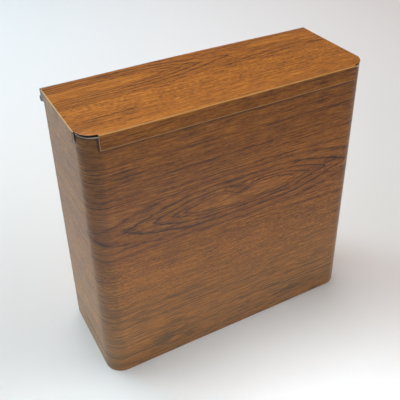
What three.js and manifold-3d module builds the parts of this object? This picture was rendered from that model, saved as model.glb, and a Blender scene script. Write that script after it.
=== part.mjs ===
// Hinged-lid archival box in wood-grain vinyl-clad sheet steel.
// Millimetres, +Z up. X runs along the long faces, -Y is the front, and the box stands on Z = 0.
// Everything is drawn about the middle of the body; the last group centres the whole footprint.
import * as THREE from "three";
import { mergeVertices } from "three/addons/utils/BufferGeometryUtils.js";
import Module from "manifold-3d";

const wasm = await Module();
wasm.setup();

// Driving dimensions
const LENGTH = 317.5; // body, along X
const DEPTH = 114.3; // body, along Y
const HEIGHT = 310; // top of the closed lid above the table
const CORNER_RADIUS = 19.5; // outside of the two bent front corners
const SHEET = 1; // clad steel sheet
const TOUCH = 0.1; // between two faces that meet
const LID_GAP = 0.8; // between the lid's flanges and the body
const PAD_PROUD = 0.5; // how far the foot pads lift the steel off the table
const FRONT_FLANGE = 15.8; // how far the lid laps over the front
const END_FLANGE = 11.7; // and over the ends
const HEM = 8; // folded inside along the shell's upper edges
const NOTCH_OVERRUN = 1.5; // how far the lid's flanges run on past the start of each corner arc
const RIM_STEP = 1.3; // the corners' raw rim is this far below the lid's underside
const PAN_RECESS = 2; // the bottom pan's underside above the shell's lower edge
const PAN_FLANGE = 12; // stands up inside the walls
const RETURN_FLANGE = 14; // the shell's ends turn in by this much behind the back panel
const LEAF = 1.2; // hinge leaf thickness
const LEAF_WIDTH = 12; // from the hinge axis to the leaf's far edge
const BARREL_RADIUS = 3.2;
const PIN_RADIUS = 1.7;
const HINGE_DROP = 12.5; // hinge axis below the lid's top
const KNUCKLES = 13;
const KNUCKLE_GAP = 0.4;
const RIVET_SHANK = 1.4;
const RIVET_HOLE = 1.7;
const BODY_RIVETS_X = [-130, -65, 0, 65, 130];
const LID_RIVETS_X = [-150, -90, -30, 30, 90, 150];

// Derived places
const wallX = LENGTH / 2;
const frontY = -DEPTH / 2;
const rearY = DEPTH / 2;
const arcX = wallX - CORNER_RADIUS;
const arcY = frontY + CORNER_RADIUS;
const lidUnder = HEIGHT - SHEET;
const lidX = wallX + LID_GAP + SHEET;
const lidFrontY = frontY - LID_GAP - SHEET;
const hinge = { y: rearY + TOUCH + BARREL_RADIUS, z: HEIGHT - HINGE_DROP };
const backTop = hinge.z - 1.5;
const shellRearY = rearY - SHEET - TOUCH;
const bodyRivetZ = hinge.z - 7.9;
const lidRivetZ = hinge.z + 7.6;

const vinyl = { color: 0x7a4e2c, roughness: 0.42, metalness: 0 };
const materials = {
  clad: new THREE.MeshStandardMaterial(vinyl),
  lid: new THREE.MeshStandardMaterial({ ...vinyl, color: 0x9a5f2b }),
  steel: new THREE.MeshStandardMaterial({ color: 0x8f938f, roughness: 0.35, metalness: 1 }),
  rubber: new THREE.MeshStandardMaterial({ color: 0x1c1a18, roughness: 0.9, metalness: 0 }),
};

// manifold-3d joins and cuts closed three.js meshes.
function solid(geometry) {
  const bare = new THREE.BufferGeometry()
    .setAttribute("position", geometry.getAttribute("position"))
    .setIndex(geometry.index);
  const merged = mergeVertices(bare, 1e-4);
  return new wasm.Manifold(
    new wasm.Mesh({
      numProp: 3,
      vertProperties: new Float32Array(merged.attributes.position.array),
      triVerts: new Uint32Array(merged.index.array),
    }),
  );
}

function geometryOf(made) {
  const mesh = made.getMesh();
  const geometry = new THREE.BufferGeometry()
    .setAttribute("position", new THREE.BufferAttribute(mesh.vertProperties, 3))
    .setIndex(new THREE.BufferAttribute(mesh.triVerts, 1));
  geometry.computeVertexNormals();
  return geometry;
}

const join = (solids) => solids.reduce((whole, next) => whole.add(next));
const cut = (whole, tools) => tools.reduce((left, tool) => left.subtract(tool), whole);

// A block between two corners.
function block([x0, y0, z0], [x1, y1, z1]) {
  const box = new THREE.BoxGeometry(x1 - x0, y1 - y0, z1 - z0);
  return solid(box.translate((x0 + x1) / 2, (y0 + y1) / 2, (z0 + z1) / 2));
}

// A plan outline raised from one height to another.
function raise(outline, low, high) {
  const geometry = new THREE.ExtrudeGeometry(outline, { depth: high - low, bevelEnabled: false, curveSegments: 10 });
  return solid(geometry.translate(0, 0, low));
}

// A section drawn in (y, z) and carried along X from one place to another.
const sectionToRow = new THREE.Matrix4().makeBasis(
  new THREE.Vector3(0, 1, 0),
  new THREE.Vector3(0, 0, 1),
  new THREE.Vector3(1, 0, 0),
);
function carry(section, from, to) {
  const geometry = new THREE.ExtrudeGeometry(section, { depth: to - from, bevelEnabled: false, curveSegments: 14 });
  return solid(geometry.applyMatrix4(sectionToRow).translate(from, 0, 0));
}

// A round hole through a sheet that faces Y.
function holeAlongY(x, y, z) {
  const tool = new THREE.CylinderGeometry(RIVET_HOLE, RIVET_HOLE, 6, 16);
  return solid(tool.translate(x, y, z));
}

const mirrorX = (made) => made.mirror([1, 0, 0]);

// Front and both ends bent from one sheet, the ends turned in behind the back panel.
function bodyShell() {
  const rimZ = lidUnder - RIM_STEP;
  const inner = CORNER_RADIUS - SHEET;
  const wrap = new THREE.Shape()
    .moveTo(-wallX, shellRearY)
    .lineTo(-wallX, arcY)
    .absarc(-arcX, arcY, CORNER_RADIUS, Math.PI, 1.5 * Math.PI, false)
    .lineTo(arcX, frontY)
    .absarc(arcX, arcY, CORNER_RADIUS, 1.5 * Math.PI, 2 * Math.PI, false)
    .lineTo(wallX, shellRearY)
    .lineTo(wallX - RETURN_FLANGE, shellRearY)
    .lineTo(wallX - RETURN_FLANGE, shellRearY - SHEET)
    .lineTo(wallX - SHEET, shellRearY - SHEET)
    .lineTo(wallX - SHEET, arcY)
    .absarc(arcX, arcY, inner, 2 * Math.PI, 1.5 * Math.PI, true)
    .lineTo(-arcX, frontY + SHEET)
    .absarc(-arcX, arcY, inner, 1.5 * Math.PI, Math.PI, true)
    .lineTo(-wallX + SHEET, shellRearY - SHEET)
    .lineTo(-wallX + RETURN_FLANGE, shellRearY - SHEET)
    .lineTo(-wallX + RETURN_FLANGE, shellRearY);
  const hemTop = lidUnder - TOUCH;
  const hemDepth = 2 * SHEET + TOUCH;
  const endHemRear = shellRearY - 4;
  const frontHem = block([-arcX, frontY, hemTop - HEM], [arcX, frontY + hemDepth, hemTop]);
  const endHem = block([-wallX, arcY, hemTop - HEM], [-wallX + hemDepth, endHemRear, hemTop]);
  const walls = join([raise(wrap, PAD_PROUD, rimZ), frontHem, endHem, mirrorX(endHem)]);
  // The lid's rear flange hangs behind the ends' upper rear corners.
  const relief = block([-LENGTH, shellRearY - 1.5, backTop - 2], [LENGTH, DEPTH, HEIGHT]);
  return cut(walls, [relief]);
}

// Back sheet with a stiffening fold along its top.
function backPanel() {
  const edge = wallX - TOUCH;
  const foldEdge = wallX - SHEET - 1;
  const sheet = block([-edge, rearY - SHEET, PAD_PROUD], [edge, rearY, backTop]);
  const fold = block([-foldEdge, rearY - 12, backTop - SHEET], [foldEdge, rearY, backTop]);
  const holes = BODY_RIVETS_X.map((x) => holeAlongY(x, rearY, bodyRivetZ));
  return cut(join([sheet, fold]), holes);
}

// Tray that closes the bottom, its flanges standing up inside the walls.
function bottomPan() {
  const clear = SHEET + 0.3;
  const x = wallX - clear;
  const front = frontY + clear;
  const rear = shellRearY - clear;
  const backContact = rearY - clear;
  const radius = CORNER_RADIUS - clear;
  const low = PAD_PROUD + PAN_RECESS;
  const high = low + PAN_FLANGE;
  const plate = new THREE.Shape()
    .moveTo(-x, rear)
    .lineTo(-x, arcY)
    .absarc(-arcX, arcY, radius, Math.PI, 1.5 * Math.PI, false)
    .lineTo(arcX, front)
    .absarc(arcX, arcY, radius, 1.5 * Math.PI, 2 * Math.PI, false)
    .lineTo(x, rear);
  const rearX = wallX - RETURN_FLANGE - 1;
  const endFlange = block([-x, arcY, low], [-x + SHEET, rear - 1.5, high]);
  return join([
    raise(plate, low, low + SHEET),
    block([-arcX, front, low], [arcX, front + SHEET, high]),
    block([-rearX, rear - 1, low], [rearX, backContact, low + SHEET]),
    block([-rearX, backContact - SHEET, low], [rearX, backContact, high]),
    endFlange,
    mirrorX(endFlange),
  ]);
}

// Top panel with four turned-down flanges. The front corners are notched and left open: the flanges
// stop short of them, and the panel's own corner is cut to an arc just inside the shell's.
function lid() {
  const radius = CORNER_RADIUS - 1;
  const centreX = lidX - CORNER_RADIUS;
  const notch = { x: centreX + NOTCH_OVERRUN, y: arcY - 2 * NOTCH_OVERRUN };
  const atEnd = { x: centreX + Math.sqrt(radius ** 2 - (notch.y - arcY) ** 2), y: notch.y };
  const atFront = { x: notch.x, y: arcY - Math.sqrt(radius ** 2 - NOTCH_OVERRUN ** 2) };
  const endAngle = Math.atan2(atEnd.y - arcY, atEnd.x - centreX);
  const frontAngle = Math.atan2(atFront.y - arcY, atFront.x - centreX);
  const panel = new THREE.Shape()
    .moveTo(-lidX, rearY)
    .lineTo(-lidX, notch.y)
    .lineTo(-atEnd.x, atEnd.y)
    .absarc(-centreX, arcY, radius, Math.PI - endAngle, Math.PI - frontAngle, false)
    .lineTo(-notch.x, lidFrontY)
    .lineTo(notch.x, lidFrontY)
    .lineTo(atFront.x, atFront.y)
    .absarc(centreX, arcY, radius, frontAngle, endAngle, false)
    .lineTo(lidX, notch.y)
    .lineTo(lidX, rearY);
  const endFlange = block([-lidX, notch.y, HEIGHT - END_FLANGE], [-lidX + SHEET, rearY, HEIGHT]);
  const made = join([
    raise(panel, lidUnder, HEIGHT),
    block([-notch.x, lidFrontY, HEIGHT - FRONT_FLANGE], [notch.x, lidFrontY + SHEET, HEIGHT]),
    block([-lidX, rearY - SHEET, hinge.z + 0.8], [lidX, rearY, HEIGHT]),
    endFlange,
    mirrorX(endFlange),
  ]);
  return cut(
    made,
    LID_RIVETS_X.map((x) => holeAlongY(x, rearY, lidRivetZ)),
  );
}

// One leaf of the continuous hinge: a strip whose edge is rolled round the pin at every other knuckle.
// side is 1 for the lid's leaf, which stands above the axis, and -1 for the body's leaf.
function hingeLeaf(side, stripX, first, rivetsX, rivetZ) {
  const pitch = (2 * lidX) / KNUCKLES;
  const bore = BARREL_RADIUS - LEAF;
  const rollEnd = (115 / 180) * Math.PI;
  const turned = (angle) => (side > 0 ? angle : -angle);
  const rolled = new THREE.Shape()
    .moveTo(-BARREL_RADIUS, side * (BARREL_RADIUS + 1))
    .lineTo(-BARREL_RADIUS, 0)
    .absarc(0, 0, BARREL_RADIUS, turned(Math.PI), turned(2 * Math.PI + rollEnd), side < 0)
    .absarc(0, 0, bore, turned(2 * Math.PI + rollEnd), turned(Math.PI), side > 0)
    .lineTo(-bore, side * (BARREL_RADIUS + 1));
  const knuckles = [];
  for (let k = first; k < KNUCKLES; k += 2) {
    const from = -lidX + k * pitch + (k > 0 ? KNUCKLE_GAP / 2 : 0);
    const to = -lidX + (k + 1) * pitch - (k < KNUCKLES - 1 ? KNUCKLE_GAP / 2 : 0);
    knuckles.push(carry(rolled, from, to).translate([0, hinge.y, hinge.z]));
  }
  const near = hinge.z + side * (BARREL_RADIUS + 0.5);
  const far = hinge.z + side * LEAF_WIDTH;
  const strip = block(
    [-stripX, hinge.y - BARREL_RADIUS, Math.min(near, far)],
    [stripX, hinge.y - bore, Math.max(near, far)],
  );
  return cut(
    join([strip, ...knuckles]),
    rivetsX.map((x) => holeAlongY(x, hinge.y - BARREL_RADIUS, rivetZ)),
  );
}

function hingePin() {
  const pin = new THREE.CylinderGeometry(PIN_RADIUS, PIN_RADIUS, 2 * lidX + 0.6, 20);
  return solid(pin.rotateZ(Math.PI / 2).translate(0, hinge.y, hinge.z));
}

// A rivet along Y: domed head outside on the leaf, tail set on the inside of the sheet.
function rivetGeometry() {
  const headBase = LEAF + 2 * TOUCH;
  const tailBase = -SHEET - TOUCH;
  const head = 3;
  const tail = 2.3;
  const profile = [
    [0, tailBase - 1],
    [tail - 0.4, tailBase - 1],
    [tail, tailBase - 0.5],
    [tail, tailBase],
    [RIVET_SHANK, tailBase],
    [RIVET_SHANK, headBase],
    [head, headBase],
    [head * 0.92, headBase + 0.4],
    [head * 0.6, headBase + 0.85],
    [0, headBase + 1],
  ];
  return new THREE.LatheGeometry(
    profile.map(([r, y]) => new THREE.Vector2(r, y)),
    16,
  );
}

// Low self-adhesive pad under the bottom pan.
const padRadius = 9;
function padGeometry() {
  const top = PAD_PROUD + PAN_RECESS - TOUCH;
  const profile = [
    [0, 0],
    [padRadius - 0.8, 0],
    [padRadius, 0.8],
    [padRadius, top],
    [0, top],
  ];
  const turned = new THREE.LatheGeometry(
    profile.map(([r, y]) => new THREE.Vector2(r, y)),
    24,
  );
  return turned.rotateX(Math.PI / 2);
}

const box = new THREE.Group();
function place(name, geometry, material, x = 0, y = 0, z = 0) {
  const mesh = new THREE.Mesh(geometry, material);
  mesh.name = name;
  mesh.position.set(x, y, z);
  box.add(mesh);
}

place("body_shell", geometryOf(bodyShell()), materials.clad);
place("back_panel", geometryOf(backPanel()), materials.clad);
place("bottom_pan", geometryOf(bottomPan()), materials.steel);
place("lid", geometryOf(lid()), materials.lid);
place("hinge_leaf_lid", geometryOf(hingeLeaf(1, lidX, 0, LID_RIVETS_X, lidRivetZ)), materials.steel);
place("hinge_leaf_body", geometryOf(hingeLeaf(-1, wallX - 1.5, 1, BODY_RIVETS_X, bodyRivetZ)), materials.steel);
place("hinge_pin", geometryOf(hingePin()), materials.steel);
BODY_RIVETS_X.forEach((x, i) => {
  place(`body_rivet_${i + 1}`, rivetGeometry(), materials.steel, x, rearY, bodyRivetZ);
});
LID_RIVETS_X.forEach((x, i) => {
  place(`lid_rivet_${i + 1}`, rivetGeometry(), materials.steel, x, rearY, lidRivetZ);
});
const padInset = 22;
[
  ["front_left", -1, -1],
  ["front_right", 1, -1],
  ["rear_left", -1, 1],
  ["rear_right", 1, 1],
].forEach(([corner, sx, sy]) => {
  place(`foot_pad_${corner}`, padGeometry(), materials.rubber, sx * (wallX - padInset), sy * (rearY - padInset), 0);
});

// The lid overhangs in front and the barrel stands out behind: the origin is under the middle of both.
const rearReach = hinge.y + BARREL_RADIUS;
box.position.y = -(lidFrontY + rearReach) / 2;

const part = new THREE.Group();
part.add(box);
export default part;
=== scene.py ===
"""Looks for the archival box: wood-grain vinyl-clad sheet steel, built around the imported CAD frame."""

import math

import bmesh
import bpy
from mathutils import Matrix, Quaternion, Vector


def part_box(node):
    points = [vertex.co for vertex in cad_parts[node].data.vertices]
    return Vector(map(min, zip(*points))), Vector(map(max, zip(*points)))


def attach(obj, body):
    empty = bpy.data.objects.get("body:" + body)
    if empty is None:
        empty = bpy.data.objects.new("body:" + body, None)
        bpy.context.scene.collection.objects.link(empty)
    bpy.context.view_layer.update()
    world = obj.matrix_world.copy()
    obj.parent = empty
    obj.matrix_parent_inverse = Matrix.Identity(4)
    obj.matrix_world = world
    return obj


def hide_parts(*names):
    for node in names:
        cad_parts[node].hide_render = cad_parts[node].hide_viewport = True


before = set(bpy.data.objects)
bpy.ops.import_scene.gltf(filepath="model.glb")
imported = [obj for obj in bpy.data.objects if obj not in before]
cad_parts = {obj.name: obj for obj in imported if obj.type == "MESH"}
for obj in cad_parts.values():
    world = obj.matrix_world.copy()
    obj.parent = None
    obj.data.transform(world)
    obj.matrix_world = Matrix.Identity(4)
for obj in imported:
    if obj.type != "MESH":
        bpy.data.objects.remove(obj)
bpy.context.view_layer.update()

# Shapes are worked out in millimetres and stored in metres.
MM = 0.001
SHEET = 1.0
FOLD = 1.4  # outside radius of a fold
FOLD_STEPS = 6
CORNER_RADIUS = 19.5  # of the shell's two front corners
CORNER_STEPS = 14
HEM = 8.0
FRONT_FLANGE_LOW = 294.2  # where the lid's front flange ends on the shell's front
END_FLANGE_LOW = 298.3  # where its end flanges end on the shell's ends
END_FLANGE_DROP = 11.7
FRONT_FLARE = 0.5  # how far the lid's front flange leans out
HEM_THICKNESS = 2.1
RIM_STEP = 1.4  # the corners' raw rim is this far below the hems
BARE_RIM = 0.6  # the film stops this short of the raw rim
LID_CROWN = 1.5  # the lid's rear edge bows up by this in the middle
KNUCKLES = 13
KNUCKLE_GAP = 0.4
LEAF = 1.2  # thickness of the hinge leaves
LID_FILM = (0, 400)  # the lid and the back are printed from other parts of the film than the shell
BACK_FILM = 700

# Material indices that every sheet piece uses in this order
CLAD, INSIDE, RAW, NOTCH = 0, 1, 2, 3


def box_mm(node):
    low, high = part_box(node)
    return low / MM, high / MM


shell_low, shell_high = box_mm("body_shell")
back_low, back_high = box_mm("back_panel")
lid_low, lid_high = box_mm("lid")
pan_low, pan_high = box_mm("bottom_pan")
pin_low, pin_high = box_mm("hinge_pin")
HINGE_Y = (pin_low.y + pin_high.y) / 2
HINGE_Z = (pin_low.z + pin_high.z) / 2
ARC_X = shell_high.x - CORNER_RADIUS
ARC_Y = shell_low.y + CORNER_RADIUS
BARREL_RADIUS = box_mm("hinge_leaf_lid")[1].y - HINGE_Y


# ---------------------------------------------------------------- mesh building


class Sheet:
    """A mesh gathered face by face. Corners at one place are one vertex, so neighbouring strips join up.

    Each corner is (place, grain). grain is where the point lies on the flat printed film, in millimetres,
    and how much painted highlight is put on the film there, from 0 to 1.
    """

    def __init__(self):
        self.mesh = bmesh.new()
        self.grain = self.mesh.verts.layers.float_vector.new("grain")
        self.known = {}

    def vertex(self, corner):
        place, grain = corner
        key = tuple(round(c, 4) for c in place)
        if key not in self.known:
            self.known[key] = self.mesh.verts.new(Vector(place) * MM)
            self.known[key][self.grain] = grain
        return self.known[key]

    def face(self, corners, material):
        vertices = list(dict.fromkeys(self.vertex(c) for c in corners))
        if len(vertices) > 2:
            made = self.mesh.faces.new(vertices)
            made.material_index = material
            made.smooth = True

    def strip(self, first, second, materials, closed=True):
        """Faces between two rows of corners, one material for each."""
        count = len(first)
        for i in range(count if closed else count - 1):
            j = (i + 1) % count
            self.face([first[i], second[i], second[j], first[j]], materials[i])

    def piece(self, name, body, slot, materials, replaced, up=None):
        """The finished object. up is the way its outer face looks, where the sheet is still open."""
        bmesh.ops.recalc_face_normals(self.mesh, faces=self.mesh.faces)
        if up is not None:
            self.mesh.faces.ensure_lookup_table()
            largest = max(self.mesh.faces, key=lambda f: f.calc_area())
            if largest.normal.dot(up) < 0:
                bmesh.ops.reverse_faces(self.mesh, faces=self.mesh.faces)
        data = bpy.data.meshes.new(name)
        self.mesh.to_mesh(data)
        self.mesh.free()
        for material in materials:
            data.materials.append(material)
        made = bpy.data.objects.new(name, data)
        bpy.context.scene.collection.objects.link(made)
        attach(made, body)
        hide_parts(*replaced)
        return made


def settle(piece, edge=0.12, thickness=0.0):
    """Gives the piece its sheet thickness and broken edges, as a plain mesh with sharp edges marked."""
    if thickness:
        solid = piece.modifiers.new("thickness", "SOLIDIFY")
        solid.thickness = thickness * MM
        solid.offset = -1
        solid.use_even_offset = True
        solid.material_offset = INSIDE
        solid.material_offset_rim = RAW
    bevel = piece.modifiers.new("edges", "BEVEL")
    bevel.width = edge * MM
    bevel.segments = 2
    bevel.limit_method = "ANGLE"
    bevel.angle_limit = math.radians(40)
    bevel.use_clamp_overlap = True
    bpy.context.view_layer.update()
    evaluated = piece.evaluated_get(bpy.context.evaluated_depsgraph_get())
    data = bpy.data.meshes.new_from_object(evaluated)
    piece.modifiers.clear()
    piece.data = data
    data.name = piece.name
    data.shade_smooth()
    data.set_sharp_from_angle(angle=math.radians(50))


def turned(name, profile, axis, centre, body, material, replaced, segments=40):
    """A lathed solid. profile is (radius, distance along the axis) from pole to pole, centre in metres."""
    mesh = bmesh.new()
    rows = []
    for radius, along in profile:
        count = 1 if radius == 0 else segments
        row = []
        for k in range(count):
            a = 2 * math.pi * k / segments
            row.append(mesh.verts.new(Vector((radius * math.cos(a), radius * math.sin(a), along)) * MM))
        rows.append(row)
    for low, high in zip(rows, rows[1:]):
        for k in range(segments):
            lower = [low[k % len(low)], low[(k + 1) % len(low)]]
            upper = [high[(k + 1) % len(high)], high[k % len(high)]]
            mesh.faces.new(list(dict.fromkeys(lower + upper))).smooth = True
    bmesh.ops.recalc_face_normals(mesh, faces=mesh.faces)
    turn = Vector((0, 0, 1)).rotation_difference(Vector(axis)).to_matrix().to_4x4()
    turn.translation = centre
    mesh.transform(turn)
    data = bpy.data.meshes.new(name)
    mesh.to_mesh(data)
    mesh.free()
    data.materials.append(material)
    data.set_sharp_from_angle(angle=math.radians(50))
    made = bpy.data.objects.new(name, data)
    bpy.context.scene.collection.objects.link(made)
    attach(made, body)
    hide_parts(replaced)


def arc(centre, radius, start, end, steps):
    """Points (x, y) round a centre, from one angle in degrees to another."""
    for k in range(steps + 1):
        a = math.radians(start + (end - start) * k / steps)
        yield centre[0] + radius * math.cos(a), centre[1] + radius * math.sin(a)


def between(start, end, steps):
    """Evenly spaced values, both ends included."""
    return [start + (end - start) * k / steps for k in range(steps + 1)]


# ---------------------------------------------------------------- body shell


def shell_path():
    """The shell's outline in plan, as (kind, stations) from the left rear flange round to the right one.

    A station is its (x, y), the way in to the sheet's other side, and the length along the flat sheet.
    """
    rear_hem_end = shell_high.y - 4
    relief = shell_high.y - 1.5
    rear_flange = 14
    x, y = shell_high.x, shell_high.y
    length = ARC_X
    turn = CORNER_RADIUS * math.pi / 2
    corner = []
    for k, (px, py) in enumerate(arc((ARC_X, ARC_Y), CORNER_RADIUS, -90, 0, CORNER_STEPS)):
        a = math.radians(-90 + 90 * k / CORNER_STEPS)
        corner.append(((px, py), (-math.cos(a), -math.sin(a)), length + turn * k / CORNER_STEPS))
    length += turn

    def side(start, end, steps=1):
        return [((x, py), (-1, 0), length + py - ARC_Y) for py in between(start, end, steps)]

    bend_length = length + y - FOLD - ARC_Y
    bend = side(relief, y - FOLD)
    for k, (px, py) in enumerate(arc((x - FOLD, y - FOLD), FOLD, 0, 90, FOLD_STEPS)):
        a = math.radians(90 * k / FOLD_STEPS)
        bend.append(((px, py), (-math.cos(a), -math.sin(a)), bend_length + FOLD * a))
    flange_end = x - rear_flange
    bend.append(((flange_end, y), (0, -1), bend_length + FOLD * math.pi / 2 + x - FOLD - flange_end))
    right = [
        ("rim", corner),
        ("hem", side(ARC_Y, rear_hem_end, 6)),
        ("rim", side(rear_hem_end, relief)),
        ("low", bend),
    ]
    front = [((px, shell_low.y), (0, 1), px) for px in between(-ARC_X, ARC_X, 20)]
    left = [
        (kind, [((-px, py), (-nx, ny), -s) for (px, py), (nx, ny), s in reversed(stations)])
        for kind, stations in reversed(right)
    ]
    return left + [("hem", front)] + right


def body_shell(materials):
    """The front, both ends and the rear flanges in one sheet, with hems on its straight top edges."""
    base, top = shell_low.z, shell_high.z
    hem_low = top - HEM
    rim = top - RIM_STEP
    bare = rim - BARE_RIM
    relief = back_high.z - 2
    hem_highlight_low = top - 0.6  # above this the top of the hem is given a painted highlight
    bend = HEM_THICKNESS / 2
    fold = [(bend - p, q) for p, q in arc((0, top - bend), bend, 0, 180, 8)]
    hem = [(0, bare), (0, rim), *fold, (HEM_THICKNESS, hem_low), (SHEET, hem_low)]
    loops = {
        "low": [(0, base), (0, relief), (SHEET, relief), (SHEET, base)],
        "rim": [(0, base), (0, relief), (0, hem_low), (0, bare), (0, rim), (SHEET, rim),
                (SHEET, hem_low), (SHEET, relief), (SHEET, base)],
        "hem": [(0, base), (0, relief), (0, hem_low), *hem, (SHEET, relief), (SHEET, base)],
    }
    faces = {
        "low": [CLAD, RAW, INSIDE, RAW],
        "rim": [CLAD, CLAD, CLAD, RAW, RAW, INSIDE, INSIDE, INSIDE, RAW],
        "hem": [CLAD] * (len(hem) + 1) + [RAW, INSIDE, INSIDE, RAW],
    }
    ends = {
        frozenset(("hem", "rim")): [*hem, (SHEET, rim)],
        frozenset(("rim", "low")): [(0, relief), (0, hem_low), (0, bare), (0, rim), (SHEET, rim),
                                    (SHEET, hem_low), (SHEET, relief)],
    }

    def corners(station, loop):
        (x, y), (nx, ny), s = station
        return [((x + nx * n, y + ny * n, z), (s, z + n, 0.5 if z > hem_highlight_low else 0)) for n, z in loop]

    sheet = Sheet()
    path = shell_path()
    for kind, stations in path:
        rings = [corners(st, loops[kind]) for st in stations]
        for first, second in zip(rings, rings[1:]):
            sheet.strip(first, second, faces[kind])
    for (kind, stations), (following, _) in zip(path, path[1:]):
        sheet.face(corners(stations[-1], ends[frozenset((kind, following))]), RAW)
    sheet.face(corners(path[0][1][0], loops["low"]), RAW)
    sheet.face(corners(path[-1][1][-1], loops["low"]), RAW)
    settle(sheet.piece("body_shell_clad", "case", "woodgrain_clad_steel", materials, ["body_shell"]))


# ---------------------------------------------------------------- flanged panels: the lid and the pan


def flanged_panel(name, low, high, face_z, down, drops, corner, ends, crown, flare, film, spec):
    """A panel with four bent flanges and front corners cut to an arc.

    low and high are its outside corners in plan. face_z is the outside face, and down is the way the
    flanges go, as -1 or 1. drops are the flanges' (front, end, rear) depths. corner is the right corner's
    arc, as ((x, y), radius). ends is (front flange's half length, rear flange's half length, end flange's
    rear end). crown is how far the rear edge bows up, and flare how far the front flange leans out. film is
    where the panel's origin lies on the printed film. spec is (body, slot, materials, replaced nodes); the
    slot is not used.
    """
    fold_x = high.x - FOLD
    fold_front = low.y + FOLD
    fold_rear = high.y - FOLD
    (cx, cy), radius = corner
    front_half, rear_half, end_rear = ends
    start = math.degrees(math.asin(-math.sqrt(radius**2 - (front_half - cx) ** 2) / radius))
    finish = math.degrees(-math.acos((fold_x - cx) / radius))
    right = list(arc((cx, cy), radius, start, finish, 10))
    straight = [(px, right[0][1]) for px in between(-front_half, front_half, 28)]
    columns = [(-px, py) for px, py in reversed(right[1:])] + straight + right[1:]
    rows = 12

    def place(x, y, drop=0.0):
        share = (y - low.y) / (high.y - low.y)
        lift = crown * max(0.0, 1 - (x / high.x) ** 2) * max(0.0, share) ** 2
        return x, y, face_z + down * drop + lift

    def corner_at(x, y, drop=0.0, u=None, v=None, pale=0.0):
        u = x if u is None else u
        v = y if v is None else v
        return place(x, y, drop), (u + film[0], v + film[1], pale)

    sheet = Sheet()
    grid = [[corner_at(x, y) for y in between(front, fold_rear, rows)] for x, front in columns]
    for first, second in zip(grid, grid[1:]):
        sheet.strip(first, second, [CLAD] * rows, closed=False)
    for (x, _), (x_next, _) in zip(straight, straight[1:]):
        sheet.face([corner_at(x, fold_front), corner_at(x_next, fold_front),
                    corner_at(x_next, right[0][1]), corner_at(x, right[0][1])], CLAD)

    angles = [math.radians(t) for t in between(0, 90, FOLD_STEPS)]
    quarter = [(FOLD * math.sin(a), FOLD * (1 - math.cos(a))) for a in angles]

    def flange(edge, out, drop, flare=0.0, behind=0.0, lip_pale=0.3):
        """A strip bent down along an edge. behind runs its flat part on past the edge's far end."""
        lip = drop - 0.7
        falls = [*between(FOLD, lip - 0.4, 4)[1:], lip, drop]
        section = quarter + [(FOLD + flare * (fall / drop) ** 2, fall) for fall in falls]
        rows_down = []
        for k, (reach, fall) in enumerate(section):
            if k <= FOLD_STEPS:
                length = FOLD * math.pi / 2 * k / FOLD_STEPS
                # Painted highlight along the fold's curve, strongest halfway round
                pale = math.sin(math.pi * k / FOLD_STEPS)
            else:
                length = FOLD * math.pi / 2 + fall - FOLD
                # Painted highlight on the flange's lower lip
                pale = lip_pale if fall >= lip else 0
            row = []
            for x, y in edge:
                u, v = x + out[0] * length, y + out[1] * length
                row.append(corner_at(x + out[0] * reach, y + out[1] * reach, fall, u, v, pale))
            rows_down.append(row)
        for first, second in zip(rows_down, rows_down[1:]):
            sheet.strip(first, second, [CLAD] * len(edge), closed=False)
        if behind:
            inner = [row[-1] for row in rows_down[FOLD_STEPS:]]
            outer = [((x, y + behind, z), (u, v + behind, pale)) for (x, y, z), (u, v, pale) in inner]
            sheet.strip(inner, outer, [CLAD] * len(inner), closed=False)

    front_drop, end_drop, rear_drop = drops
    flange([(x, fold_front) for x, _ in straight], (0, -1), front_drop, flare, lip_pale=0.8)
    for side in (-1, 1):
        edge = [(side * fold_x, y) for y in between(right[-1][1], fold_rear, rows)]
        flange(edge, (side, 0), end_drop, behind=end_rear - fold_rear)
    rear_edge = [(x, fold_rear) for x, _ in columns if abs(x) <= rear_half]
    flange(rear_edge, (0, 1), rear_drop)
    body, slot, materials, replaced = spec
    made = sheet.piece(name, body, slot, materials, replaced, up=Vector((0, 0, -down)))
    settle(made, thickness=SHEET)
    for face in made.data.polygons:
        if face.material_index == RAW and abs(face.center.z / MM - face_z) < SHEET + crown:
            face.material_index = NOTCH


def lid(materials):
    """The film side is out. Its corner arcs lie a little inside the shell's, so the raw rim shows."""
    arc_inset = 1
    past_arc = 1.5  # the front flange runs this far out past the corner arcs' centres
    gap = 0.2  # between the rear and end flanges
    rear_gap = 0.8  # from the rear flange down to the hinge's axis, and from the end flanges to the rear
    corner = ((lid_high.x - CORNER_RADIUS, ARC_Y), CORNER_RADIUS - arc_inset)
    front_half = lid_high.x - CORNER_RADIUS + past_arc
    drops = (lid_high.z - lid_low.z, END_FLANGE_DROP, lid_high.z - HINGE_Z - rear_gap)
    ends = (front_half, lid_high.x - SHEET - gap, lid_high.y - rear_gap)
    spec = ("lid", "woodgrain_clad_steel", materials, ["lid"])
    flanged_panel("lid_clad", lid_low, lid_high, lid_high.z, -1, drops, corner, ends,
                  LID_CROWN, FRONT_FLARE, LID_FILM, spec)


def bottom_pan(materials):
    """Flanges up, just inside the shell."""
    wall_gap = 0.35
    drops = (pan_high.z - pan_low.z,) * 3
    corner = ((ARC_X, ARC_Y), CORNER_RADIUS - SHEET - wall_gap)
    rear_half = 143.7  # leaves room for the shell's rear flanges
    ends = (ARC_X, rear_half, pan_high.y - FOLD - 1.5)
    spec = ("case", "galvanised_steel", materials, ["bottom_pan"])
    flanged_panel("bottom_pan_zinc", pan_low, pan_high, pan_low.z, 1, drops, corner, ends,
                  0, 0, (0, 0), spec)


# ---------------------------------------------------------------- pieces carried along X


def carried(sheet, stations, loop, faces, film):
    """A closed (y, z) loop carried along X through the stations. film gives each corner's grain."""
    rings = [[((x, y, z), film(x, y, z)) for y, z in loop] for x in stations]
    for first, second in zip(rings, rings[1:]):
        sheet.strip(first, second, faces)


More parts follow.
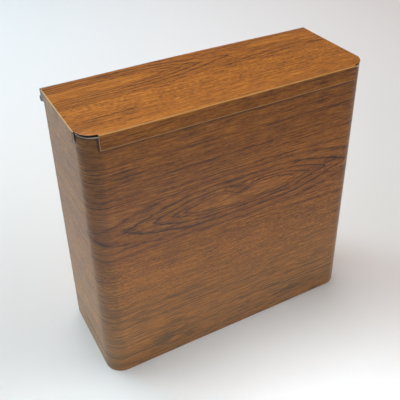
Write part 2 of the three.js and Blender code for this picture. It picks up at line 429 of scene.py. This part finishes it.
def back_panel(materials):
    """Back sheet with its top folded in. The fold stops short of both ends, clear of the shell's sides."""
    rear, base, top = back_high.y, back_low.z, back_high.z
    fold_edge = shell_high.x - SHEET - 1
    shoulder = top - 2
    bend = (rear - FOLD, top - FOLD)
    outer = list(arc(bend, FOLD, 0, 90, FOLD_STEPS))
    inner = list(arc(bend, FOLD - SHEET, 90, 0, FOLD_STEPS))
    upper = [(rear, shoulder), *outer, (back_low.y, top), (back_low.y, top - SHEET), *inner,
             (rear - SHEET, shoulder)]
    full = [(rear, base), *upper, (rear - SHEET, base)]
    plain = [(rear, base), (rear, shoulder), (rear - SHEET, shoulder), (rear - SHEET, base)]
    full_faces = [CLAD] * 9 + [RAW] + [INSIDE] * 9 + [RAW]
    plain_faces = [CLAD, RAW, INSIDE, RAW]

    def film(x, y, z):
        return x + BACK_FILM, z + (rear - y if z > shoulder else 0), 0

    def row(x, loop):
        return [((x, y, z), film(x, y, z)) for y, z in loop]

    sheet = Sheet()
    carried(sheet, between(-fold_edge, fold_edge, 20), full, full_faces, film)
    for side in (-1, 1):
        carried(sheet, [side * fold_edge, side * back_high.x], plain, plain_faces, film)
        sheet.face(row(side * fold_edge, upper), RAW)
        sheet.face(row(side * back_high.x, plain), RAW)
    settle(sheet.piece("back_panel_clad", "case", "woodgrain_clad_steel", materials, ["back_panel"]))


def hinge_leaf(name, side, first_knuckle, strip_x, body, material, node):
    """A strip with every other knuckle rolled from its edge. side is 1 above the pin and -1 below it."""
    low, high = box_mm(node)
    face = HINGE_Y - BARREL_RADIUS
    far = high.z if side > 0 else low.z
    neck = 0.5  # of flat strip between the barrel and where the gaps between knuckles end
    near = HINGE_Z + side * (BARREL_RADIUS + neck)
    bore = BARREL_RADIUS - LEAF
    roll = 295  # degrees the knuckle curls round the pin

    def rolled(radius, start, end, steps):
        for p, q in arc((0, 0), radius, 180 + start, 180 + end, steps):
            yield HINGE_Y + p, HINGE_Z + side * q

    knuckle = [(face + LEAF, near), *rolled(bore, 0, roll, 30), *rolled(BARREL_RADIUS, roll, 0, 30),
               (face, near)]
    strip = [(face, far), (face + LEAF, far), (face + LEAF, near), (face, near)]
    whole = [(face, far), (face + LEAF, far), *knuckle]

    def film(x, y, z):
        return x, y + z, 0

    sheet = Sheet()
    pitch = 2 * lid_high.x / KNUCKLES
    reached = -strip_x
    for k in range(first_knuckle, KNUCKLES, 2):
        start = -lid_high.x + k * pitch + (KNUCKLE_GAP / 2 if k > 0 else 0)
        end = -lid_high.x + (k + 1) * pitch - (KNUCKLE_GAP / 2 if k < KNUCKLES - 1 else 0)
        if start > reached:
            carried(sheet, [reached, start], strip, [0] * len(strip), film)
        carried(sheet, [start, end], whole, [0] * len(whole), film)
        for x in (start, end):
            sheet.face([((x, y, z), film(x, y, z)) for y, z in knuckle], 0)
        reached = end
    if reached < strip_x:
        carried(sheet, [reached, strip_x], strip, [0] * len(strip), film)
    for x in (-strip_x, strip_x):
        sheet.face([((x, y, z), film(x, y, z)) for y, z in strip], 0)
    settle(sheet.piece(name, body, "zinc_plated_steel", [material], [node]), edge=0.1)


# ---------------------------------------------------------------- turned pieces


def hinge_pin(material):
    """A straight wire with broken ends."""
    radius = (pin_high.z - pin_low.z) / 2
    length = pin_high.x - pin_low.x
    centre = Vector((pin_low.x, HINGE_Y, HINGE_Z)) * MM
    profile = [(0, 0), (radius - 0.35, 0), (radius - 0.1, 0.1), (radius, 0.35), (radius, length - 0.35),
               (radius - 0.1, length - 0.1), (radius - 0.35, length), (0, length)]
    turned("hinge_pin_zinc", profile, (1, 0, 0), centre, "case", material,
           "hinge_pin")


def rivets(material):
    """Domed heads on the leaves, with the tails set flat inside."""
    shank = 1.4
    tail = [(0, 0.15), (0.8, 0), (1.7, 0.05), (2.15, 0.3), (2.3, 0.6), (2.3, 1), (shank, 1)]
    for body, group in (("case", "body_rivet"), ("lid", "lid_rivet")):
        for node in sorted(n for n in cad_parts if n.startswith(group)):
            low, high = box_mm(node)
            head = (high.x - low.x) / 2
            base = HINGE_Y - BARREL_RADIUS + LEAF + 0.1 - low.y
            total = high.y - low.y
            dome = [(head * math.cos(t), base + (total - base) * math.sin(t))
                    for t in (math.radians(a) for a in range(0, 90, 15))]
            profile = [*tail, (shank, base), (head - 0.1, base), *dome, (0, total)]
            centre = Vector(((low.x + high.x) / 2, low.y, (low.z + high.z) / 2)) * MM
            turned(f"{node}_domed", profile, (0, 1, 0), centre, body, material, node)


def foot_pads(material):
    """Round pads with a rolled lower edge and a shallow dimple underneath."""
    for node in sorted(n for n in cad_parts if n.startswith("foot_pad")):
        low, high = box_mm(node)
        radius = (high.x - low.x) / 2
        top = high.z - low.z
        edge = 0.9
        shoulder = [(radius - edge + p, edge - q) for p, q in arc((0, 0), edge, 90, 0, 6)]
        dimple = [(0, 0.25), (radius * 0.35, 0.2), (radius * 0.55, 0.05), (radius * 0.65, 0)]
        profile = [*dimple, *shoulder, (radius, top - 0.3), (radius - 0.3, top), (0, top)]
        centre = Vector(((low.x + high.x) / 2, (low.y + high.y) / 2, low.z)) * MM
        turned(f"{node}_moulded", profile, (0, 0, 1), centre, "case", material, node)


# ---------------------------------------------------------------- materials


class Value:
    """A socket in a node tree that can be used in arithmetic."""

    def __init__(self, graph, socket):
        self.graph = graph
        self.socket = socket

    def __add__(self, other):
        return self.graph.math("ADD", self, other)

    def __sub__(self, other):
        return self.graph.math("SUBTRACT", self, other)

    def __mul__(self, other):
        return self.graph.math("MULTIPLY", self, other)

    def __truediv__(self, other):
        return self.graph.math("DIVIDE", self, other)

    def __rsub__(self, other):
        return self.graph.math("SUBTRACT", other, self)

    __radd__ = __add__
    __rmul__ = __mul__


class Graph:
    """A new material whose node tree is written as arithmetic."""

    def __init__(self, name, **constants):
        self.material = bpy.data.materials.new(name)
        self.material.use_nodes = True
        self.nodes = self.material.node_tree.nodes
        self.links = self.material.node_tree.links
        self.shader = self.nodes["Principled BSDF"]
        for socket, value in constants.items():
            self.shader.inputs[socket.replace("_", " ")].default_value = value

    def feed(self, socket, value):
        if isinstance(value, Value):
            self.links.new(value.socket, socket)
        else:
            socket.default_value = value

    def math(self, operation, *values, clamp=False):
        node = self.nodes.new("ShaderNodeMath")
        node.operation = operation
        node.use_clamp = clamp
        for socket, value in zip(node.inputs, values):
            self.feed(socket, value)
        return Value(self, node.outputs[0])

    def mix(self, share, first, second):
        """Blends two colours. Either may be a plain tuple."""
        node = self.nodes.new("ShaderNodeMix")
        node.data_type = "RGBA"
        for index, value in ((0, share), (6, first), (7, second)):
            self.feed(node.inputs[index], (*value, 1) if isinstance(value, tuple) else value)
        return Value(self, node.outputs[2])

    def film(self):
        """Where the point lies on the flat film, along and across the grain in mm, and how much painted
        highlight it carries.
        """
        read = self.nodes.new("ShaderNodeAttribute")
        read.attribute_name = "grain"
        split = self.nodes.new("ShaderNodeSeparateXYZ")
        self.links.new(read.outputs["Vector"], split.inputs[0])
        return [Value(self, out) for out in split.outputs]

    def point(self):
        """The point in the piece's own space, in millimetres."""
        read = self.nodes.new("ShaderNodeTexCoord")
        split = self.nodes.new("ShaderNodeSeparateXYZ")
        self.links.new(read.outputs["Object"], split.inputs[0])
        return [Value(self, out) * (1 / MM) for out in split.outputs]

    def noise(self, x, y, z=0.0, detail=2.0, roughness=0.5):
        join = self.nodes.new("ShaderNodeCombineXYZ")
        for socket, value in zip(join.inputs, (x, y, z)):
            self.feed(socket, value)
        node = self.nodes.new("ShaderNodeTexNoise")
        node.inputs["Scale"].default_value = 1
        node.inputs["Detail"].default_value = detail
        node.inputs["Roughness"].default_value = roughness
        self.links.new(join.outputs[0], node.inputs["Vector"])
        return Value(self, node.outputs["Fac"])

    def step(self, value, low, high):
        """0 below low and 1 above high, or the other way round, with a smooth change between."""
        node = self.nodes.new("ShaderNodeMapRange")
        node.interpolation_type = "SMOOTHSTEP"
        rising = low < high
        node.inputs["From Min"].default_value = min(low, high)
        node.inputs["From Max"].default_value = max(low, high)
        node.inputs["To Min"].default_value = 0 if rising else 1
        node.inputs["To Max"].default_value = 1 if rising else 0
        self.feed(node.inputs["Value"], value)
        return Value(self, node.outputs["Result"])

    def ramp(self, value, stops):
        """stops are (position, colour)."""
        node = self.nodes.new("ShaderNodeValToRGB")
        elements = node.color_ramp.elements
        while len(elements) < len(stops):
            elements.new(0.5)
        for element, (position, colour) in zip(elements, stops):
            element.position = position
            element.color = (*colour, 1)
        self.feed(node.inputs[0], value)
        return Value(self, node.outputs["Color"])

    def finish(self, colour=None, roughness=None, height=None, bump=0.1):
        """Links what varies over the surface. height is in millimetres."""
        if colour is not None:
            self.feed(self.shader.inputs["Base Color"], colour)
        if roughness is not None:
            self.feed(self.shader.inputs["Roughness"], roughness)
        if height is not None:
            node = self.nodes.new("ShaderNodeBump")
            node.inputs["Strength"].default_value = bump
            node.inputs["Distance"].default_value = MM
            self.feed(node.inputs["Height"], height)
            self.links.new(node.outputs["Normal"], self.shader.inputs["Normal"])
        return self.material


def rgb(red, green, blue):
    """Linear colour from 0 to 255 sRGB values."""
    return tuple(((c / 255 + 0.055) / 1.055) ** 2.4 for c in (red, green, blue))


def cathedral(graph, u, v, middle, core, first, growth, rings, flat):
    """A plain-sawn figure: nested lens-shaped rings round a straight core, pointed at both ends.

    middle is its centre on the film. core is the half length of the straight part, and first is how far
    beyond that the innermost ring's point lies. Each ring is growth times the one before, and flat times
    longer than wide. Gives how dark the rings are, and how far inside the innermost one a point is.
    """
    beyond = graph.math("MAXIMUM", graph.math("ABSOLUTE", u - middle[0]) - core, 0)
    aside = v - middle[1]
    tall = graph.math("SQRT", aside * aside + 0.3) * (flat / 2)
    reach = tall + graph.math("SQRT", tall * tall + beyond * beyond)
    phase = graph.math("LOGARITHM", reach * (1 / first), growth)
    part = graph.math("FRACT", phase + 0.5)
    flank = tall * 2 / reach
    off_line = graph.math("ABSOLUTE", part - 0.5) / (0.10 + 0.14 * flank)
    line = graph.math("SUBTRACT", 1, off_line, clamp=True) * (1.25 - 0.35 * flank)
    latewood = graph.step(part, 0.0, 0.5) * graph.step(part, 0.53, 0.5) * 0.30
    extent = graph.step(phase, -0.35, -0.2) * graph.step(phase, rings + 0.4, rings - 0.8)
    return graph.math("MAXIMUM", line, latewood) * extent, graph.step(phase, 0.1, -0.8)


def streak_line(graph, u, v, start, end, height, slope, bow, width):
    """One long dark line of grain from start to end, fading at both ends."""
    middle, half = (start + end) / 2, (end - start) / 2
    t = (u - middle) / half
    square = t * t
    off_line = graph.math("ABSOLUTE", v - height - (u - middle) * slope - (1 - square) * bow)
    return graph.step(off_line, width, 0.0) * graph.step(square, 1.0, 0.6)


# The film's inks, from the darkest lines to the palest wood, then the colours for painted light, highlight
# and shade
DARKEST = (0.042, 0.017, 0.008)
DARK = (0.115, 0.042, 0.011)
MIDDLE = (0.350, 0.114, 0.014)
LIGHT = (0.590, 0.225, 0.028)
PAINTED_LOWER_LIGHT = (0.70, 0.50, 0.24)  # painted light: lightens the lower part of the shell's film, where the floor's bounce light falls
PAINTED_HIGHLIGHT = (0.62, 0.35, 0.11)  # painted highlight along the folds, the flanges' lower lips and the shell's hem tops
# colour of the painted shade and shadow on the shell's film
PAINTED_SHADE = (0.030, 0.019, 0.013)

# Figures printed on the film: centre, core, first ring, growth, rings, flatness, darkness
FRONT_FIGURES = [
    ((8, 194), 30, 40, 1.39, 4.3, 5.0, 1.0),
    ((-21, 207.5), 1, 5.5, 1.6, 0.4, 1.5, 0.8),  # a small knot on the large eye's upper edge
    ((176, 190), 30, 34, 1.5, 1.4, 5.5, 0.7),
    ((-150, 34), 40, 48, 1.42, 1.4, 5.0, 0.85),
    ((-140, 19), 40, 38, 1.35, 0.6, 6.5, 0.8),
]
LID_FIGURES = [
    ((-150, 428), 60, 55, 1.33, 4.1, 6.3, 0.95),
    ((-112, 426), 8, 13, 1.5, 1.2, 3.4, 0.7),
    ((150, 440), 40, 50, 1.4, 2.4, 6.0, 0.5),
]
BACK_FIGURES = [
    ((640, 165), 60, 40, 1.4, 4.0, 5.0, 0.9),
    ((860, 55), 40, 34, 1.4, 2.4, 5.5, 0.7),
]
# Long lines: start, end, height, slope, bow, half width, darkness
LINES = [
    (-40, 200, 36, -0.05, 0, 1.9, 1.0),
    (-230, -84, 20, 0, 1, 2.4, 0.9),
    (-230, -60, 41, -0.02, -3, 1.3, 0.8),
    (-230, 30, 10, 0.01, -2, 1.2, 0.7),
    (-70, 220, 12, 0.02, 2, 1.2, 0.7),
    (-230, -20, 172, 0, 2, 1.2, 0.6),
    (-200, -30, 166, 0.01, -1, 1.4, 0.6),
    (-230, 220, 224, -0.02, 5, 1.2, 0.7),
    (-100, 70, 248, 0, 1, 1.6, 0.6),
    (40, 220, 241, 0.02, 0, 1.6, 0.7),
    (20, 170, 269, 0, 0, 2.4, 0.5),
    (-230, -20, 84, 0, 1, 2.2, 0.5),
    (-60, 230, 58, 0.01, 2, 1.2, 0.6),
    (-230, 60, 66, 0.01, 1, 1.0, 0.6),
    (10, 230, 74, -0.02, 1, 1.3, 0.5),
    (-30, 230, 26, 0.03, 1, 1.1, 0.7),
    (-230, 0, 52, 0.02, -1, 1.0, 0.6),
    (-140, -92, 369.5, 0, 0, 1.3, 0.8),
    (15, 120, 375, 0, 0, 1.3, 0.5),
    (15, 190, 404, 0.02, 15, 1.5, 0.7),
    (60, 200, 407, -0.01, 7, 1.2, 0.6),
    (70, 170, 445, -0.06, 3, 1.4, 0.6),
]
# Dark patches: centre, half length, half height, darkness
PATCHES = [(-92, 27, 17, 12, 0.8), (-60, 17, 9, 6, 0.6), (86, 22, 34, 4.5, 0.8), (-125, 195, 12, 6, 0.4)]


def darkest(graph, *values):
    """The largest of the values, point by point."""
    most = values[0]
    for value in values[1:]:
        most = graph.math("MAXIMUM", most, value)
    return most


def painted_flange_shadow(graph, u, v):
    """Painted shadow on the shell's film, under the lid's flange edges and beside the front flange's ends.
    """
    along = graph.math("ABSOLUTE", u)
    front = painted_shadow_band(graph, v, FRONT_FLANGE_LOW) * graph.step(along, 145, 142.5)
    ends = graph.step(along, 170, 172.5) * graph.step(along, 266, 262)
    end = painted_shadow_band(graph, v, END_FLANGE_LOW) * ends
    beside = graph.step(v, FRONT_FLANGE_LOW - 1.5, FRONT_FLANGE_LOW) * graph.step(v, 312, 309)
    beside = beside * graph.step(graph.math("ABSOLUTE", along - 143.2), 2.2, 0.8)
    return darkest(graph, front, end, beside)


def painted_shadow_band(graph, v, height):
    """Fades in upwards to a height, and stops just above it."""
    return graph.step(v, height - 7, height) * graph.step(v, height + 3, height + 0.5)


def painted_corner_shade(graph, u, v):
    """Painted shade on the shell's film round its two front corners."""
    off_corner = graph.math("ABSOLUTE", graph.math("ABSOLUTE", u) - 155)
    return graph.step(off_corner, 19, 9) * graph.step(v, 320, 315)


def woodgrain():
    """Satin vinyl film printed with plain-sawn walnut, its pores lightly embossed, with painted light,
    highlight and shade mixed into its colour.
    """
    graph = Graph("woodgrain_vinyl", IOR=1.44)
    u, v, pale = graph.film()
    sway = (graph.noise(u / 150, v / 60, 3.0, detail=1) - 0.5) * 8
    ripple = (graph.noise(u / 22, v / 5, 7.0, detail=2) - 0.5) * 3.6
    dip = graph.math("EXPONENT", 0 - (u - 3) * (u - 3) / 170 - (v - 197) * (v - 197) / 90)
    ring_u = u + (graph.noise(u / 26, v / 7, 11.0, detail=2) - 0.5) * 15
    ring_v = v + ripple + dip * 8.5
    v_grain = v + sway + ripple * 0.5

    board = graph.noise(u / 420, v_grain / 34, 1.0, detail=2)
    band = graph.noise(u / 260, v_grain / 8, 5.0, detail=2)
    thread = graph.noise(u / 60, v_grain / 2.4, 8.0, detail=2, roughness=0.6)
    streak = graph.noise(u / 22, v_grain / 1.3, 9.0, detail=2, roughness=0.6)
    fibre = graph.noise(u / 7, v_grain / 0.6, 13.0, detail=1)
    fleck = graph.noise(u / 4.2, v / 1.7, 17.0, detail=2)
    flecked_front = graph.step(v, 78, 112) * graph.step(v, 172, 135)
    flecked_lid = graph.step(v, 355, 375) * graph.step(v, 420, 392)
    flecked = flecked_front + flecked_lid
    pores = graph.step(graph.noise(u / 5, v_grain / 0.5, 25.0, detail=1), 0.58, 0.70)
    seams = graph.step(graph.noise(u / 170, v_grain / 2.8, 29.0, detail=2, roughness=0.65), 0.52, 0.70)
    seamed = graph.step(graph.noise(u / 200, v_grain / 24, 33.0, detail=1), 0.38, 0.62)
    lined = graph.step(v, 105, 60) * graph.step(v, -40, 0)
    worn = 0.60 + 0.9 * graph.noise(u / 30, v / 6, 37.0, detail=2)

    rings, cores = [], []
    for *shape, darkness in FRONT_FIGURES + LID_FIGURES + BACK_FIGURES:
        ring, inner = cathedral(graph, ring_u, ring_v, *shape)
        rings.append(ring * darkness)
        cores.append(inner * darkness)
    for *shape, darkness in LINES:
        rings.append(streak_line(graph, ring_u, v + ripple, *shape) * darkness)
    for patch_u, patch_v, long, high, darkness in PATCHES:
        off_u = (ring_u - patch_u) / long
        off_v = (ring_v - patch_v) / high
        away = off_u * off_u + off_v * off_v + 2.6 * (streak - 0.5)
        rings.append(graph.step(away, 1.0, 0.25) * darkness)
    core = darkest(graph, *cores)
    dark = darkest(graph, seams * (0.3 + 0.7 * seamed + 0.5 * lined) * (1 - core) * 0.5, *rings) * worn

    tone = (
        0.64
        + 0.30 * (board - 0.5)
        + 0.25 * (band - 0.5)
        + 0.45 * (thread - 0.5)
        + 1.25 * (streak - 0.5) * (1 + 0.55 * lined)
        + 0.45 * (fibre - 0.5)
        + 0.90 * (fleck - 0.5) * (0.40 + 0.60 * flecked)
        + 0.11 * core
        - 0.46 * dark
        - 0.14 * pores
    )
    colour = graph.ramp(tone, [(0.0, DARKEST), (0.30, DARK), (0.60, MIDDLE), (0.92, LIGHT)])
    # Painted light: the shell's film is made lighter towards its bottom
    colour = graph.mix(graph.step(v, 175, 20) * graph.step(u, 500, 450) * 0.15, colour, PAINTED_LOWER_LIGHT)
    # Painted highlight where pale is set: along the folds, the flanges' lower lips and the hem tops
    colour = graph.mix(graph.step(pale, 0.25, 0.9) * (0.45 + 0.8 * streak), colour, PAINTED_HIGHLIGHT)
    roughness = 0.36 + 0.10 * pores + 0.08 * (streak - 0.5) + 0.05 * graph.noise(u / 25, v / 25, 41.0)
    height = 0.06 * (streak - 0.5) - 0.10 * pores + 0.03 * (fibre - 0.5)
    # Painted shadow under the lid's flanges and beside the front flange's ends
    colour = graph.mix(painted_flange_shadow(graph, u, v) * (0.45 + 0.5 * board), colour, PAINTED_SHADE)
    # Painted shade round the shell's two front corners
    colour = graph.mix(painted_corner_shade(graph, u, v) * (0.12 + 0.20 * board), colour, PAINTED_SHADE)
    return graph.finish(colour, roughness, height, bump=0.35)


def inside_coat():
    """The sheet's bare side: a thin, slightly mottled grey-beige wash coat."""
    graph = Graph("inside_wash_coat", IOR=1.48)
    x, y, z = graph.point()
    cloud = graph.noise(x / 45, y / 45, z / 45, detail=3)
    speck = graph.noise(x / 1.1, y / 1.1, z / 1.1, detail=1)
    tone = 0.5 + 0.5 * (cloud - 0.5) + 0.35 * (speck - 0.5)
    stops = [(0.2, rgb(122, 116, 104)), (0.5, rgb(150, 143, 129)), (0.8, rgb(168, 162, 148))]
    colour = graph.ramp(tone, stops)
    return graph.finish(colour, 0.48 + 0.18 * cloud, 0.05 * speck, bump=0.2)


def raw_edge():
    """Sheared steel edges: bright, with drag marks and a little tarnish."""
    graph = Graph("sheared_steel_edge", Metallic=0.15, IOR=1.6)
    x, y, z = graph.point()
    drag = graph.noise(x / 0.5, y / 0.5, z / 0.5, detail=2)
    tarnish = graph.step(graph.noise(x / 6, y / 6, z / 6, detail=2), 0.45, 0.7)
    tone = 0.75 * drag + 0.35 - 0.35 * tarnish
    stops = [(0.1, rgb(140, 128, 116)), (0.45, rgb(226, 214, 202)), (0.85, rgb(244, 238, 230))]
    colour = graph.ramp(tone, stops)
    return graph.finish(colour, 0.42 + 0.22 * drag + 0.15 * tarnish, 0.06 * drag, bump=0.3)


def notch_edge():
    """The lid's edge in the corner notches, in a darker colour than the other cut edges."""
    graph = Graph("dark_notch_edge", IOR=1.45)
    x, y, z = graph.point()
    notch_mottle = graph.noise(x / 2.5, y / 2.5, z / 2.5, detail=3)
    colour = graph.ramp(notch_mottle, [(0.3, rgb(26, 20, 16)), (0.6, rgb(44, 34, 26)), (0.8, rgb(78, 62, 48))])
    return graph.finish(colour, 0.45 + 0.3 * notch_mottle, 0.06 * notch_mottle, bump=0.3)


def galvanised():
    """Spangled zinc."""
    graph = Graph("galvanised_spangle", Metallic=1.0)
    x, y, z = graph.point()
    join = graph.nodes.new("ShaderNodeCombineXYZ")
    for socket, value in zip(join.inputs, (x / 9, y / 9, z / 9)):
        graph.feed(socket, value)
    cells = graph.nodes.new("ShaderNodeTexVoronoi")
    cells.inputs["Scale"].default_value = 1
    graph.links.new(join.outputs[0], cells.inputs["Vector"])
    split = graph.nodes.new("ShaderNodeSeparateColor")
    graph.links.new(cells.outputs["Color"], split.inputs[0])
    spangle = Value(graph, split.outputs[0])
    cloud = graph.noise(x / 20, y / 20, z / 20, detail=3)
    tone = 0.55 * spangle + 0.45 * cloud
    stops = [(0.1, rgb(142, 146, 148)), (0.5, rgb(168, 172, 173)), (0.9, rgb(196, 199, 199))]
    colour = graph.ramp(tone, stops)
    return graph.finish(colour, 0.34 + 0.22 * spangle, 0.03 * cloud, bump=0.2)


def zinc_plate():
    """Zinc-plated hinge steel with fine rolling lines and worn, darker patches."""
    graph = Graph("zinc_plated_hinge", Metallic=1.0)
    x, y, z = graph.point()
    rolled = graph.noise(x / 30, y / 0.35, z / 0.35, detail=2)
    patch = graph.step(graph.noise(x / 14, y / 7, z / 7, detail=2), 0.46, 0.70)
    tone = 0.5 + 0.5 * (rolled - 0.5) - 0.16 * patch
    stops = [(0.1, rgb(58, 62, 60)), (0.5, rgb(112, 116, 111)), (0.85, rgb(168, 171, 165))]
    colour = graph.ramp(tone, stops)
    return graph.finish(colour, 0.24 + 0.16 * patch + 0.10 * rolled, 0.04 * rolled, bump=0.25)


def rivet_metal():
    """Satin aluminium with fine scuffs."""
    graph = Graph("rivet_aluminium_satin", Metallic=1.0)
    x, y, z = graph.point()
    scuff = graph.noise(x / 0.8, y / 0.8, z / 0.8, detail=3)
    stops = [(0.25, rgb(150, 151, 153)), (0.55, rgb(190, 191, 192)), (0.8, rgb(214, 214, 214))]
    colour = graph.ramp(scuff, stops)
    return graph.finish(colour, 0.28 + 0.25 * scuff, 0.05 * scuff, bump=0.25)


def pad_rubber():
    """Matt black rubber with a little dust."""
    graph = Graph("foot_rubber", IOR=1.5)
    x, y, z = graph.point()
    dust = graph.noise(x / 3.5, y / 3.5, z / 3.5, detail=3)
    grit = graph.noise(x / 0.35, y / 0.35, z / 0.35, detail=1)
    colour = graph.ramp(dust, [(0.3, rgb(30, 29, 28)), (0.6, rgb(44, 42, 40)), (0.8, rgb(66, 63, 60))])
    return graph.finish(colour, 0.72 + 0.2 * dust, 0.08 * grit, bump=0.3)


# ---------------------------------------------------------------- floor, light and camera


def floor():
    """A wide, plain sheet of pale paper."""
    mesh = bmesh.new()
    bmesh.ops.create_grid(mesh, x_segments=1, y_segments=1, size=8)
    data = bpy.data.meshes.new("floor")
    mesh.to_mesh(data)
    mesh.free()
    made = bpy.data.objects.new("floor", data)
    bpy.context.scene.collection.objects.link(made)
    graph = Graph("floor_paper", Roughness=0.75)
    graph.shader.inputs["Base Color"].default_value = (0.78, 0.79, 0.83, 1)
    graph.shader.inputs["Specular IOR Level"].default_value = 0.2
    data.materials.append(graph.material)


# Name, place, what it is aimed at, size, watts, colour, spread in degrees
AREA_LIGHTS = [
    ("floor_in_front", (-0.18, -0.26, 1.5), (-0.18, -0.26, 0), (0.7, 0.32), 0.72,
     (0.93, 1.0, 1.02), 16),
    ("overhead", (0, 0.1, 1.9), (0, 0.1, 0), (1.0, 0.5), 0.86,
     (1.0, 0.82, 0.62), 50),
    ("overhead_rear", (-0.2, 0.9, 1.9), (-0.2, 0.9, 0), (1.8, 1.2), 7.4,
     (1.0, 0.94, 0.92), 90),
    ("warm_rear", (0.9, 0.9, 1.9), (0.9, 0.9, 0), (1.0, 1.0), 2.4,
     (1.0, 0.66, 0.48), 80),
    ("left_window", (-1.3, 1.8, 1.1), (0, 0, 0.1), (1.4, 1.6), 27,
     (0.54, 0.93, 1.0), 180),
    ("right_fill", (2.3, -1.3, 1.1), (0, 0, 0.15), (1.4, 1.4), 18.5,
     (1.0, 0.87, 0.7), 180),
]


def soft_light(name, place, aim, size, power, colour, spread):
    """A rectangular lamp at a place, turned to its aim."""
    lamp = bpy.data.lights.new(name, "AREA")
    lamp.shape = "RECTANGLE"
    lamp.size, lamp.size_y = size
    lamp.energy = power
    lamp.color = colour
    lamp.spread = math.radians(spread)
    made = bpy.data.objects.new(name, lamp)
    made.location = place
    direction = Vector(aim) - Vector(place)
    made.rotation_euler = direction.to_track_quat("-Z", "Y").to_euler()
    bpy.context.scene.collection.objects.link(made)


def skylight(name, direction, angle, strength):
    """Even light over the whole floor, from a wide patch of sky in the given direction."""
    lamp = bpy.data.lights.new(name, "SUN")
    lamp.energy = strength
    lamp.angle = math.radians(angle)
    made = bpy.data.objects.new(name, lamp)
    made.rotation_euler = (-Vector(direction)).to_track_quat("-Z", "Y").to_euler()
    bpy.context.scene.collection.objects.link(made)


def surroundings():
    """A pale room, bright round the horizon, dimmer overhead and towards the box's front left."""
    dim_side = (-0.6, -0.8, 0)
    dimming = 0.25
    world = bpy.data.worlds.new("room")
    world.use_nodes = True
    bpy.context.scene.world = world
    nodes, links = world.node_tree.nodes, world.node_tree.links
    direction = nodes.new("ShaderNodeTexCoord")
    split = nodes.new("ShaderNodeSeparateXYZ")
    links.new(direction.outputs["Generated"], split.inputs[0])
    toward = nodes.new("ShaderNodeVectorMath")
    toward.operation = "DOT_PRODUCT"
    toward.inputs[1].default_value = dim_side
    links.new(direction.outputs["Generated"], toward.inputs[0])
    dimmed = nodes.new("ShaderNodeMath")
    dimmed.operation = "MULTIPLY"
    dimmed.use_clamp = True
    dimmed.inputs[1].default_value = dimming
    links.new(toward.outputs["Value"], dimmed.inputs[0])
    total = nodes.new("ShaderNodeMath")
    links.new(split.outputs["Z"], total.inputs[0])
    links.new(dimmed.outputs[0], total.inputs[1])
    ramp = nodes.new("ShaderNodeValToRGB")
    stops = [(0.0, (0.42, 0.42, 0.43)), (0.14, (0.36, 0.36, 0.37)), (0.30, (0.05, 0.05, 0.05)),
             (1.0, (0.05, 0.05, 0.05))]
    while len(ramp.color_ramp.elements) < len(stops):
        ramp.color_ramp.elements.new(0.5)
    for element, (position, colour) in zip(ramp.color_ramp.elements, stops):
        element.position = position
        element.color = (*colour, 1)
    links.new(total.outputs[0], ramp.inputs[0])
    links.new(ramp.outputs["Color"], nodes["Background"].inputs["Color"])


def camera():
    """Looks down over the front left corner, a little off level, from three quarters of a metre."""
    azimuth, elevation, roll = (math.radians(a) for a in (-27.93, 33.0, -1.07))
    distance = 0.728
    aim = Vector((0.0016, 0.025, 0.190))
    back = Vector((math.sin(azimuth) * math.cos(elevation), -math.cos(azimuth) * math.cos(elevation),
                   math.sin(elevation)))
    data = bpy.data.cameras.new("camera")
    data.sensor_width = 36
    data.lens = 56.57
    data.shift_y = -0.1
    made = bpy.data.objects.new("camera", data)
    made.location = aim + back * distance
    made.rotation_mode = "QUATERNION"
    made.rotation_quaternion = (-back).to_track_quat("-Z", "Y") @ Quaternion((0, 0, 1), roll)
    bpy.context.scene.collection.objects.link(made)
    bpy.context.scene.camera = made


# ---------------------------------------------------------------- the scene

film = woodgrain()
coat = inside_coat()
edge = raw_edge()
zinc = zinc_plate()
spangle = galvanised()

body_shell([film, coat, edge])
back_panel([film, coat, edge])
lid([film, coat, edge, notch_edge()])
bottom_pan([spangle, spangle, edge, edge])
hinge_leaf("hinge_leaf_lid_rolled", 1, 0, lid_high.x, "lid", zinc, "hinge_leaf_lid")
hinge_leaf("hinge_leaf_body_rolled", -1, 1, shell_high.x - 1.5, "case", zinc, "hinge_leaf_body")
hinge_pin(zinc)
rivets(rivet_metal())
foot_pads(pad_rubber())

floor()
surroundings()
for name, place, aim, size, watts, colour, spread in AREA_LIGHTS:
    soft_light(name, place, aim, size, watts, colour, spread)
skylight("sky", (-0.05, 0.42, 1), 40, 0.66)
camera()
bpy.context.scene.view_settings.view_transform = "Standard"
